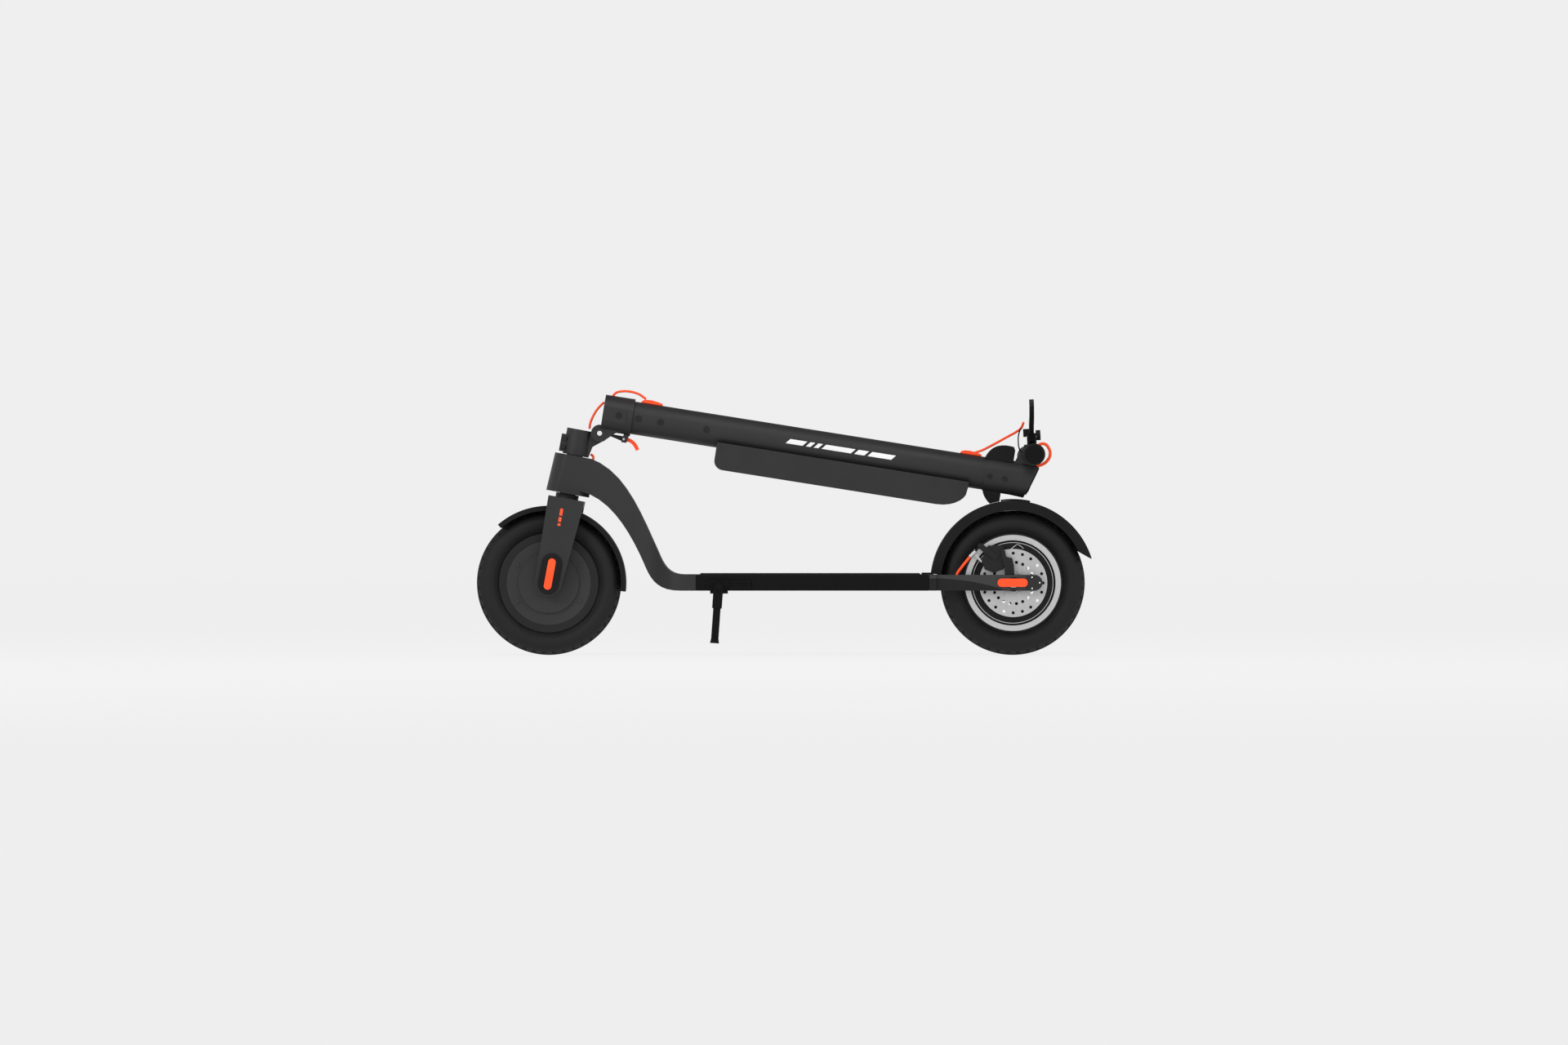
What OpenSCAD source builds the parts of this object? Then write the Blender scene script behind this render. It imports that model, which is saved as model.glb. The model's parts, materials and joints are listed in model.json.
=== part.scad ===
// Folding electric kick scooter with a front hub motor, a battery on the stem
// and a rear disc brake, shown folded. The front is toward -X, the left side
// toward -Y, and the tyres stand on Z = 0.

/* [Wheels] */
// Distance between the two axles
wheelbase = 817.3; // [680:0.1:981]
// Outer radius of both tyres
tyre_r = 127.3; // [106:0.1:153]
// Height of a tyre section from bead to tread
tyre_h = 42.6; // [36:0.1:50]
// Half width of a tyre section
tyre_half_w = 27; // [22:0.5:30]
// Wall of a tyre
tyre_wall = 6; // [4:0.5:8]

/* [Deck] */
// Width of the deck
deck_w = 150; // [130:1:190]
// Thickness of the deck
deck_t = 28.4; // [24:0.1:34]
// Wall of the deck extrusion
deck_wall = 3; // [2:0.5:5]
// Depth of the deck's underside below the axles
deck_drop = 13.4; // [11:0.1:16]
// Thickness of the grip mat
mat_t = 2; // [1.5:0.5:3]

/* [Neck and fork] */
// Lean of the steering axis from vertical
steer_tilt = 10.5; // [8:0.5:14]
// Height of the head clamp's top face above the axle, along the steering axis
clamp_top = 275.5; // [262:0.5:300]
// Distance of the steering axis behind the front axle
fork_offset = 3.6; // [0:0.1:8]
// Half width of the neck casting at the head
neck_half_w = 33; // [28:1:40]
// Height of the head tube
head_h = 68; // [56:1:76]
// Outer radius of the steerer tube
steerer_r = 14.3; // [12:0.1:17]
// Gap between the tyre and the fork crown
crown_gap = 12.2; // [11:0.1:20]
// Thickness of a fork leg
leg_t = 14; // [10:0.5:18]
// Gap between the fork legs
fork_inside = 90; // [80:1:104]

/* [Stem] */
// Radius of the stem tube
stem_r = 29; // [25:0.5:34]
// Wall of the stem tube
stem_wall = 3; // [2:0.5:5]
// Angle through which the stem folds
fold_angle = 88.5; // [87:0.5:90]
// Distance from the fold pivot to the stem's axis
fold_off = 36.3; // [35:0.1:44]
// Radius of the fold pin
pin_r = 4.4; // [3.5:0.1:5]
// Length of the battery case
battery_len = 450; // [380:1:540]
// Depth of the battery case behind the stem's axis
battery_depth = 66.8; // [58:0.1:80]
// Half width of the battery case
battery_half_w = 34; // [30:0.5:40]

/* [Handlebar] */
// Width across the handlebar's ends
bar_w = 430; // [360:1:516]
// Radius of the handlebar
bar_r = 11; // [9.5:0.1:13]
// Length of a grip
grip_len = 110; // [92:1:132]
// Radius of a grip
grip_r = 17; // [15:0.5:19]

/* [Rear end] */
// Outer radius of the rear mudguard about the axle
guard_r = 144.9; // [142:0.1:175]
// Half width of the mudguards
guard_half_w = 36; // [33:0.5:40]
// Radius of the brake rotor
rotor_r = 60; // [54:0.5:70]
// Thickness of the brake rotor
rotor_t = 2; // [1.6:0.1:2.5]
// Distance of the rotor's middle from the wheel's middle plane
rotor_y = 40; // [38:0.5:42]
// Thickness of a rear arm
arm_t = 12; // [10:0.5:16]

/* [Kickstand] */
// Ground clearance of the kickstand's foot
foot_clear = 20.9; // [12:0.1:40]
// Radius of the kickstand pin
kick_pin_r = 3; // [2.5:0.1:4]

/* [Fits] */
// Radial clearance of a pin or shaft in its bore
run_fit = 0.05; // [0.02:0.01:0.09]
// Radial clearance of a part that is clamped or seated on a tube
seat = 0.1; // [0.05:0.05:0.2]
// Gap between parts that move past each other
gap = 0.4; // [0.3:0.1:1]

/* [Hidden] */
$fn = 64;
guard_tip_a = 17.1;
total_len = tyre_r + wheelbase + guard_r * cos(guard_tip_a);
front_x = tyre_r - total_len / 2;
rear_x = front_x + wheelbase;
axle_z = tyre_r;
deck_bot = axle_z - deck_drop;
deck_top = deck_bot + deck_t;
steer_x = front_x + fork_offset * cos(steer_tilt);
steer_z = axle_z - fork_offset * sin(steer_tilt);
stem_lean = steer_tilt + fold_angle;
pivot = [steer_x + fold_off * cos(steer_tilt) + clamp_top * sin(steer_tilt), 0,
         steer_z - fold_off * sin(steer_tilt) + clamp_top * cos(steer_tilt)];
// Where the hook of the folded stem meets the rear mudguard
hook_lead = 37.7;
hook_dx = rear_x - hook_lead - pivot[0];
hook_dz = axle_z + sqrt(guard_r * guard_r - hook_lead * hook_lead) - pivot[2];
hook_s = hook_dx * sin(stem_lean) + hook_dz * cos(stem_lean);
hook_h = hook_dz * sin(stem_lean) - hook_dx * cos(stem_lean) - fold_off;
// Stations along the stem, from the fold pivot's plane
head_s = hook_s - 20;
head_end_s = hook_s + 64;
bar_s = hook_s + 56;
bar_h = 44.5;
base_s = 43;
collar_s = 49.5;
battery_end = head_s - 24;
battery_start = battery_end - battery_len;
battery_seam = 19;
// Fork levels along the steering axis, from the axle
crown_top = tyre_r + crown_gap + 12.5;
crown_bot = tyre_r + crown_gap;
head_bot = crown_top + 8.5;
head_top = head_bot + head_h;
clamp_h = 46;
clamp_bot = clamp_top - clamp_h;
clamp_r = 22;
leg_in = fork_inside / 2;
leg_out = leg_in + leg_t;
bead_r = tyre_r - tyre_h - 2.7;
rim_lip_r = bead_r + 5.5;
axle_r = 6;
arm_in = rotor_y + 12;
arm_out = arm_in + arm_t;
arm_z = (deck_bot + deck_top) / 2 - 0.2;
arm_h = 27.8;
arm_end_x = rear_x + 50.7;
arm_top = arm_z + arm_h / 2 - axle_z;
deck_front_x = front_x + 259.2;
deck_rear_x = rear_x - guard_r - 3.2;

// Point on a cubic curve
function curve_pt(p, t) = p[0] * pow(1 - t, 3) + p[1] * 3 * t * pow(1 - t, 2)
  + p[2] * 3 * t * t * (1 - t) + p[3] * pow(t, 3);
// Points along a cubic curve, both ends included
function curve(p, n = 12) = [for (i = [0:n]) curve_pt(p, i / n)];
// Points along an arc from angle a to angle b
function arc(c, r, a, b, n = 8) =
  [for (i = [0:n]) c + r * [cos(a + (b - a) * i / n), sin(a + (b - a) * i / n)]];

// Steering frame: origin on the steering axis at axle height, Z up the axis
module steering() {
  translate([steer_x, 0, steer_z]) rotate([0, steer_tilt, 0]) children();
}
// Stem frame: origin on the stem's axis in the pivot plane, Z along the stem,
// X toward the side that faces the rider when the stem is upright
module on_stem() {
  translate(pivot) rotate([0, stem_lean, 0]) translate([-fold_off, 0, 0]) children();
}
// Wheel frames: Z along the axle toward the left side
module front_hub() {
  translate([front_x, 0, axle_z]) rotate([90, 0, 0]) children();
}
module rear_hub() {
  translate([rear_x, 0, axle_z]) rotate([90, 0, 0]) children();
}
// A side outline in X and Z given thickness across Y between two planes
module side_plate(y0, y1) {
  translate([0, y1, 0]) rotate([90, 0, 0]) linear_extrude(y1 - y0) children();
}
// The same on the left and on the right
module both_sides(y0, y1) {
  side_plate(-y1, -y0) children();
  side_plate(y0, y1) children();
}
// A cylinder along Y between two planes
module y_cyl(r, y0, y1) {
  translate([0, y1, 0]) rotate([90, 0, 0]) cylinder(r = r, h = y1 - y0);
}
// A copy and its mirror image across the middle plane
module mirrored() {
  children();
  mirror([0, 1, 0]) children();
}

// Section of a hollow tyre, radius along X
module tyre_section() {
  c = tyre_r - tyre_h / 2;
  ry = tyre_h / 2;
  neck = rim_lip_r + 0.6;
  outer = [for (a = [-135:15:135]) [c + ry * cos(a), tyre_half_w * sin(a)]];
  inner = [for (a = [130:-20:-130])
    [c + (ry - tyre_wall) * cos(a), (tyre_half_w - tyre_wall) * sin(a)]];
  difference() {
    polygon(concat([[bead_r, -bead_half], [neck, -bead_half]], outer,
                   [[neck, bead_half], [bead_r, bead_half]]));
    polygon(concat(inner, [[bead_r - 1, -bead_half + tyre_wall],
                           [bead_r - 1, bead_half - tyre_wall]]));
  }
}
bead_half = 17;
lip_out = bead_half + 3.5;
module tyre() {
  color("#2b2b2b") rotate_extrude() tyre_section();
}
// Section of a rim with two lips, open toward the hub
module rim_section(inner_r) {
  polygon([[inner_r, -lip_out], [rim_lip_r, -lip_out], [rim_lip_r, -bead_half - 0.2],
           [bead_r - 0.2, -bead_half - 0.2], [bead_r - 0.2, bead_half + 0.2],
           [rim_lip_r, bead_half + 0.2], [rim_lip_r, lip_out], [inner_r, lip_out]]);
}
cover_r = rim_lip_r - 13.5;
cover_t = 4;
hub_disc_r = cover_r - 21;
hub_face = lip_out + 6;
bolt_ring_r = cover_r - 10.4;
module front_tyre() { front_hub() tyre(); }
module motor_rim() {
  color("#3a3a3a") front_hub() rotate_extrude() rim_section(cover_r + 0.2);
}
module motor_covers() {
  color("#444444") front_hub() for (m = [0, 1]) mirror([0, 0, m]) difference() {
    union() {
      translate([0, 0, lip_out - cover_t]) cylinder(r = cover_r + 0.2, h = cover_t);
      translate([0, 0, lip_out - 1]) cylinder(r = hub_disc_r, h = hub_face - lip_out + 1);
      translate([0, 0, lip_out - 1]) cylinder(r = 24, h = hub_face - lip_out + 5);
    }
    translate([0, 0, lip_out - cover_t - 1]) cylinder(r = hub_disc_r - 8, h = cover_t + 1);
    cylinder(r = axle_r + run_fit, h = 60);
    for (a = [-30, 30, 150, 210]) rotate([0, 0, a]) translate([bolt_ring_r, 0, 0])
      cylinder(r = 2.6, h = 60);
  }
  color("#1c1c1c") front_hub() for (m = [0, 1]) mirror([0, 0, m])
    for (a = [-30, 30, 150, 210]) rotate([0, 0, a]) translate([bolt_ring_r, 0, 0]) {
      translate([0, 0, lip_out - 9]) cylinder(r = 2.5, h = 9);
      translate([0, 0, lip_out]) cylinder(r = 4, h = 1.6);
    }
}
module motor_stator() {
  color("#b87333") front_hub() difference() {
    union() {
      cylinder(r = cover_r - 12, h = 22, center = true);
      cylinder(r = 14, h = 30, center = true);
    }
    cylinder(r = axle_r, h = 60, center = true);
  }
}
module front_axle() {
  color("#8a8a8a") front_hub() {
    cylinder(r = axle_r, h = 2 * leg_out - 1, center = true);
    for (m = [0, 1]) mirror([0, 0, m]) translate([0, 0, leg_out - 5])
      difference() {
        cylinder(r = 9, h = 4.5, $fn = 6);
        cylinder(r = axle_r, h = 20, center = true);
      }
  }
}

// Fork legs, crown and steerer as one casting
leg_back_r = 23.8;
module leg_outline() {
  translate([-fork_offset, 0]) circle(r = leg_back_r);
  polygon([[-31.3, crown_top], [32, crown_top], [31.6, crown_top - 22],
           [leg_back_r - fork_offset, 0], [-leg_back_r - fork_offset, 0]]);
}
module fork() {
  color("#333333") steering() difference() {
    union() {
      both_sides(leg_in, leg_out) leg_outline();
      intersection() {
        translate([0, 0, crown_bot]) cylinder(r = leg_out + 2, h = crown_top - crown_bot);
        translate([-31.3, -leg_out, crown_bot]) cube([63.3, 2 * leg_out, crown_top - crown_bot]);
      }
      translate([0, 0, crown_top - 1]) cylinder(r = steerer_r + 6, h = head_bot - crown_top + 1 - gap);
      translate([0, 0, crown_top - 1]) cylinder(r = steerer_r, h = clamp_top - crown_top - 2);
    }
    translate([-fork_offset, 0, 0]) y_cyl(axle_r, -100, 100);
    translate([0, 0, crown_bot - 1]) cylinder(r = steerer_r - 3, h = 200);
    for (m = [0, 1]) mirror([0, m, 0]) translate([-fork_offset, leg_out, 0])
      rotate([90, 0, 0]) cylinder(r = 10.5, h = 5);
  }
}
// Oval covers over the axle nuts, each with a recess for its reflector
cover_len = 50;
module flat_oval(w, len) {
  circle(r = w / 2);
  translate([0, len]) circle(r = w / 2);
  translate([-w / 2, 0]) square([w, len]);
}
fork_cover_t = 6;
module fork_covers() {
  color("#2c2c2c") steering() for (m = [0, 1]) mirror([0, m, 0])
    translate([-fork_offset, 0, -2]) side_plate(leg_out, leg_out + fork_cover_t) difference() {
      flat_oval(35, 37);
      translate([0, -3]) flat_oval(14.4, 42);
    }
}
module fork_reflectors() {
  color("#ff5a2b") steering() for (m = [0, 1]) mirror([0, m, 0])
    translate([-fork_offset, 0, -5]) side_plate(leg_out + 5.2, leg_out + fork_cover_t + 0.6)
      flat_oval(13.8, 42);
}
front_guard_r = tyre_r + 8.7;
guard_t = 3;
// Channel section of a mudguard
module guard_section(r, skirt_r) {
  difference() {
    translate([skirt_r, -guard_half_w]) square([r - skirt_r, 2 * guard_half_w]);
    translate([skirt_r - 1, -guard_half_w + guard_t])
      square([r - skirt_r - guard_t + 1, 2 * (guard_half_w - guard_t)]);
  }
}
// Part of a ring between two angles, counted from the rear upward
module guard_ring(r, skirt_r, a0, a1) {
  rotate([90, 0, 0]) rotate([0, 0, a0]) rotate_extrude(angle = a1 - a0, $fn = 96)
    guard_section(r, skirt_r);
}
module front_mudguard() {
  color("#262626") translate([front_x, 0, axle_z]) {
    difference() {
      guard_ring(front_guard_r, tyre_r - 4, -6.5, 131);
      y_cyl(tyre_r, -60, 60);
    }
    for (m = [0, 1]) mirror([0, m, 0]) rotate([0, steer_tilt, 0])
      translate([-12, guard_half_w - guard_t, tyre_r + 1]) cube([24, leg_in - guard_half_w + guard_t, 3]);
  }
}

// Neck casting: head tube, swept neck and the plug that enters the deck
neck_r1 = 38.5;
neck_r2 = 35;
head_x = steer_x + 200 * sin(steer_tilt);
head_z = axle_z + 200 * cos(steer_tilt);
bend_x = deck_front_x - 67;
neck_top = concat(
  curve([[head_x + 6, head_z + 30], [head_x + 88, head_z + 18],
         [bend_x - 36, deck_top + 122], [bend_x + 2, deck_top + 38]], 10),
  curve([[bend_x + 4, deck_top + 33], [bend_x + 15, deck_top + 8],
         [bend_x + 26, deck_top], [bend_x + 48, deck_top]], 8));
neck_under = concat(
  curve([[bend_x + 40, deck_bot], [bend_x + 4, deck_bot],
         [bend_x - 10, deck_bot + 14], [bend_x - 22, deck_bot + 42]], 8),
  curve([[bend_x - 24, deck_bot + 47], [bend_x - 50, deck_bot + 106],
         [head_x + 62, head_z - 33], [head_x - 4, head_z - 33]], 10));
module neck_plan() {
  half = deck_w / 2;
  side = curve([[bend_x - 42, neck_half_w], [bend_x + 8, neck_half_w],
                [bend_x + 6, half], [bend_x + 50, half]], 8);
  polygon(concat([[head_x - 60, -neck_half_w], [head_x - 60, neck_half_w]], side,
                 [[deck_front_x, half], [deck_front_x, -half]],
                 [for (i = [8:-1:0]) [side[i][0], -side[i][1]]]));
}
module neck_casting() {
  color("#404040") difference() {
    union() {
      intersection() {
        side_plate(-deck_w / 2, deck_w / 2) polygon(concat(neck_top,
          [[deck_front_x, deck_top], [deck_front_x, deck_bot]], neck_under));
        translate([0, 0, deck_bot - 1]) linear_extrude(400) neck_plan();
      }
      intersection() {
        steering() translate([0, 0, head_bot])
          cylinder(r1 = neck_r1, r2 = neck_r2, h = head_h);
        translate([head_x - 80, -neck_half_w, head_z - 80]) cube([160, 2 * neck_half_w, 160]);
      }
      translate([deck_front_x - 1, -deck_w / 2 + deck_wall + gap / 2, deck_bot + deck_wall + gap / 2])
        cube([16, deck_w - 2 * deck_wall - gap, deck_t - 2 * deck_wall - gap]);
    }
    steering() {
      translate([0, 0, head_bot - 20]) cylinder(r = steerer_r + 2, h = head_h + 40);
      for (z = [head_bot - 1, head_top - 11]) translate([0, 0, z]) cylinder(r = bearing_r, h = 12);
      translate([-60, -60, head_top]) cube([100, 120, 60]);
      translate([-60, -60, crown_bot]) cube([85, 120, head_bot - crown_bot]);
    }
    translate(neck_port) rotate([0, 60, 0]) cylinder(r = grommet_r, h = 30, center = true);
    translate([deck_front_x - 60, -neck_half_w, deck_bot + 8]) cube([80, 2 * neck_half_w, 12]);
  }
}
bearing_r = steerer_r + 8;
grommet_r = 4;
neck_port = [steer_x + 71.6, 0, axle_z + 214];
module headset_bearings() {
  color("#9a9a9a") steering() for (z = [head_bot, head_top - 11]) translate([0, 0, z])
    difference() {
      cylinder(r = bearing_r, h = 11);
      translate([0, 0, -1]) cylinder(r = steerer_r + run_fit, h = 13);
    }
}
module deck_shell() {
  color("#1c1c1c") difference() {
    translate([deck_front_x, -deck_w / 2, deck_bot])
      cube([deck_rear_x - deck_front_x, deck_w, deck_t]);
    translate([deck_front_x - 1, -deck_w / 2 + deck_wall, deck_bot + deck_wall])
      cube([deck_rear_x - deck_front_x + 2, deck_w - 2 * deck_wall, deck_t - 2 * deck_wall]);
  }
}
module deck_mat() {
  color("#161616") translate([deck_front_x + 8, -deck_w / 2 + 8, deck_top])
    cube([deck_rear_x - deck_front_x - 24, deck_w - 16, mat_t]);
}
module controller() {
  color("#b0b0b0") translate([deck_front_x + 70, -40, deck_bot + deck_wall])
    cube([140, 80, deck_t - 2 * deck_wall - 4]);
}
// Rear yoke: a plug in the deck, a bridge and two arms to the axle
module arm_outline() {
  translate([arm_end_x - arm_h / 2, arm_z]) circle(r = arm_h / 2);
  translate([deck_rear_x, arm_z - arm_h / 2]) square([arm_end_x - arm_h / 2 - deck_rear_x, arm_h]);
}
module rear_yoke() {
  color("#242424") difference() {
    union() {
      both_sides(arm_in, arm_out) arm_outline();
      both_sides(arm_out - 1, deck_w / 2) polygon([[deck_rear_x, arm_z - arm_h / 2],
        [deck_rear_x, arm_z + arm_h / 2], [deck_rear_x + 12, arm_z + arm_h / 2],
        [deck_rear_x + 12, arm_z - arm_h / 2]]);
      translate([deck_rear_x, -deck_w / 2, arm_z - arm_h / 2]) cube([12, deck_w, arm_h]);
      translate([deck_rear_x - 15, -deck_w / 2 + deck_wall + gap / 2, deck_bot + deck_wall + gap / 2])
        cube([16, deck_w - 2 * deck_wall - gap, deck_t - 2 * deck_wall - gap]);
    }
    translate([rear_x, 0, axle_z]) y_cyl(axle_r, -200, 200);
    for (m = [0, 1]) mirror([0, m, 0]) translate([rear_x, arm_out, axle_z])
      rotate([90, 0, 0]) cylinder(r = 10.5, h = 5);
  }
}
cap_front_x = rear_x + 26.2;
module arm_covers() {
  color("#303030") both_sides(arm_out, arm_out + 4) difference() {
    union() {
      translate([arm_end_x - arm_h / 2, arm_z]) circle(r = arm_h / 2);
      translate([cap_front_x - 8, arm_z - arm_h / 2])
        square([arm_end_x - arm_h / 2 - cap_front_x + 8, arm_h]);
    }
    translate([cap_front_x - 26, arm_z]) circle(r = 26);
  }
  color("#b5b5b5") for (p = [[32, 10.1], [45.6, 0], [32, -10.1]])
    for (m = [0, 1]) mirror([0, m, 0])
      translate([rear_x + p[0], 0, arm_z + p[1]]) y_cyl(2.6, arm_out + 4, arm_out + 5.2);
}
module rear_reflectors() {
  color("#ff5a2b") both_sides(arm_out, arm_out + 3) translate([rear_x - 21, arm_z])
    rotate([0, 0, -90]) flat_oval(14.7, 39);
}
module rear_axle() {
  color("#8a8a8a") rear_hub() {
    cylinder(r = axle_r, h = 2 * arm_out - 4, center = true);
    for (m = [0, 1]) mirror([0, 0, m]) {
      translate([0, 0, arm_out - 5]) difference() {
        cylinder(r = 9, h = 4.5, $fn = 6);
        cylinder(r = axle_r, h = 20, center = true);
      }
    }
    for (m = [0, 1]) mirror([0, 0, m]) translate([0, 0, hub_len / 2 + gap]) difference() {
      cylinder(r = 10, h = arm_in - hub_len / 2 - gap);
      cylinder(r = axle_r, h = 60, center = true);
    }
  }
}
hub_len = 2 * (rotor_y + rotor_t / 2 + 3);
hub_r = 27;
bolt_circle_r = 22;
module rear_tyre() { rear_hub() tyre(); }
module rear_wheel() {
  color("#c4c4c4") rear_hub() difference() {
    union() {
      rotate_extrude() rim_section(rim_lip_r - 13);
      cylinder(r = rim_lip_r - 12, h = 22, center = true);
      cylinder(r = hub_r, h = 2 * rotor_y - rotor_t, center = true);
      cylinder(r = 15, h = hub_len, center = true);
    }
    cylinder(r = 11, h = 200, center = true);
    for (k = [0:4]) rotate([0, 0, 72 * k + 36]) translate([47, 0, 0])
      cylinder(r = 13, h = 60, center = true);
  }
}
module wheel_bearings() {
  color("#9a9a9a") rear_hub() for (m = [0, 1]) mirror([0, 0, m])
    translate([0, 0, hub_len / 2 - 8]) difference() {
      cylinder(r = 11, h = 8);
      translate([0, 0, -1]) cylinder(r = axle_r + run_fit, h = 10);
    }
}
module brake_rotor() {
  color("#c9c9c9") rear_hub() translate([0, 0, rotor_y - rotor_t / 2]) difference() {
    cylinder(r = rotor_r, h = rotor_t);
    translate([0, 0, -1]) {
      cylinder(r = 15, h = rotor_t + 2);
      for (k = [0:5]) rotate([0, 0, 60 * k]) translate([bolt_circle_r, 0, 0])
        cylinder(r = 2.6, h = rotor_t + 2);
      for (k = [0:19]) rotate([0, 0, 18 * k]) {
        translate([rotor_r - 7.5, 0, 0]) cylinder(r = 2.7, h = rotor_t + 2);
        rotate([0, 0, 9]) translate([rotor_r - 23.3, 0, 0]) cylinder(r = 2.7, h = rotor_t + 2);
      }
    }
  }
  color("#707070") rear_hub() for (k = [0:5]) rotate([0, 0, 60 * k])
    translate([bolt_circle_r, 0, rotor_y + rotor_t / 2]) cylinder(r = 4, h = 2);
}
// Slanted rear end of the mudguard, as (X, Z) from the axle
tip_in = (guard_r - 19) * [cos(27.3), sin(27.3)];
tip_out = guard_r * [cos(guard_tip_a), sin(guard_tip_a)];
module rear_mudguard() {
  color("#262626") {
    difference() {
      translate([rear_x, 0, axle_z]) guard_ring(guard_r, tyre_r, guard_tip_a, 173.5);
      translate([rear_x, 0, axle_z]) side_plate(-60, 60) polygon([tip_in, tip_out,
        tip_out + [9, 0], tip_out + [9, -60], tip_in + [-30, -60], tip_in + [-12, 8]]);
      translate([deck_front_x, -100, deck_bot]) cube([deck_rear_x - deck_front_x, 200, deck_t + 0.1]);
    }
    translate([deck_rear_x - 12, -guard_half_w, deck_top]) cube([20, 2 * guard_half_w, 3]);
  }
}
catch_a = [78, 98];
module guard_catch() {
  color("#202020") translate([rear_x, 0, axle_z]) rotate([90, 0, 0]) difference() {
    rotate([0, 0, catch_a[0]]) rotate_extrude(angle = catch_a[1] - catch_a[0], $fn = 96)
      translate([guard_r + seat, -18]) square([3, 36]);
    rotate([0, 0, catch_a[1] - 4]) rotate_extrude(angle = 5, $fn = 96)
      translate([guard_r - 1, -7]) square([6, 14]);
  }
}

// Disc brake: positions are (X, Z) from the axle
pad_c = [-36, 32];
pad_t = 3;
arm_pivot = [-32, 46];
anchor = [-58, 65];
slot_half = rotor_t / 2 + gap + pad_t;
cal_in = rotor_y - 11.5;
cal_out = arm_in - 0.4;
module caliper_body() {
  color("#161616") rear_hub() difference() {
    translate([0, 0, cal_in]) linear_extrude(cal_out - cal_in)
      polygon([[-56, 40], [-50, 24], [-34, 18], [-18, 24], [-12, 36], [-14, 56], [-22, 66], [-44, 66]]);
    translate([0, 0, rotor_y - slot_half]) cylinder(r = rotor_r + 1.5, h = 2 * slot_half);
    translate([arm_pivot[0], arm_pivot[1], rotor_y]) cylinder(r = 4 + run_fit, h = 30);
  }
}
module brake_pads() {
  color("#6e4a2a") rear_hub() for (s = [-1, 1])
    translate([pad_c[0], pad_c[1], rotor_y + s * (slot_half - pad_t / 2)])
      cylinder(r = 10, h = pad_t, center = true);
}
module caliper_bracket() {
  color("#4a4a4a") rear_hub() translate([0, 0, arm_in - 0.4]) linear_extrude(6)
    polygon([[-15, arm_top], [2, arm_top], [1, 30], [-2, 44], [-12, 46], [-17, 60], [-22, 60], [-20, 40],
             [-16, 30]]);
}
module caliper_arm() {
  color("#262626") rear_hub() {
    translate([arm_pivot[0], arm_pivot[1], rotor_y + slot_half + 1])
      cylinder(r = 4, h = cal_out - rotor_y - slot_half);
    translate([arm_pivot[0], arm_pivot[1], cal_out + gap]) rotate([0, 0, arm_a])
      linear_extrude(3.6) flat_oval(10, norm(anchor - arm_pivot));
  }
}
arm_a = atan2(anchor[1] - arm_pivot[1], anchor[0] - arm_pivot[0]) - 90;
cable_y = -(cal_out + gap + 1.8);
module cable_adjuster() {
  color("#c4c4c4") translate([rear_x - 74.6, cable_y, axle_z + 48.2]) rotate([0, 45, 0])
    difference() {
      translate([0, 0, -3]) cylinder(r = 4, h = 14);
      translate([0, 0, -6]) cylinder(r = rear_cable_r, h = 40);
    }
  color("#c4c4c4") rear_hub() translate([0, 0, cal_out - 5]) linear_extrude(5)
    polygon([[-55, 38], [-62, 48], [-68, 60], [-70, 58], [-66, 46], [-57, 36]]);
}

// Kickstand on the left edge of the deck
kick_x = deck_front_x + 40.1;
kick_z = deck_bot + 7.2;
kick_y = -deck_w / 2;
module kickstand_bracket() {
  color("#101010") difference() {
    union() {
      side_plate(kick_y - 4, kick_y) polygon([[kick_x - 22, deck_bot + 3], [kick_x + 56, deck_bot + 3],
        [kick_x + 56, deck_bot + 18], [kick_x - 22, deck_bot + 18]]);
      side_plate(kick_y - 8, kick_y) polygon([[kick_x - 14.7, deck_bot - 5], [kick_x + 16.6, deck_bot - 5],
        [kick_x + 16.6, deck_bot + 19], [kick_x - 14.7, deck_bot + 19]]);
    }
    translate([kick_x, 0, kick_z]) y_cyl(kick_pin_r, kick_y - 30, kick_y - 0.01);
    side_plate(kick_y - 9, kick_y - 2) translate([kick_x + 22, deck_bot + 7]) square([28, 7]);
  }
  color("#9a9a9a") translate([kick_x, 0, kick_z]) {
    y_cyl(kick_pin_r, kick_y - 22, kick_y - 0.5);
    y_cyl(kick_pin_r + 3, kick_y - 23.5, kick_y - 21);
  }
}
module kickstand_leg() {
  len = kick_z - foot_clear;
  color("#141414") difference() {
    translate([kick_x, 0, kick_z]) rotate([0, 4, 0]) {
      side_plate(kick_y - 20.6, kick_y - 8 - gap) {
        circle(r = 8.5);
        translate([-8.5, -38]) square([17, 38]);
      }
      side_plate(kick_y - 19, kick_y - 10) translate([-6.5, -len + 4]) square([13, len - 30]);
      side_plate(kick_y - 22, kick_y - 8.5) polygon([[-6, -len + 12], [6, -len + 12],
        [8, -len + 0.9], [-8, -len + 0.9]]);
    }
    translate([kick_x, 0, kick_z]) y_cyl(kick_pin_r + run_fit, kick_y - 30, kick_y);
  }
}

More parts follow.
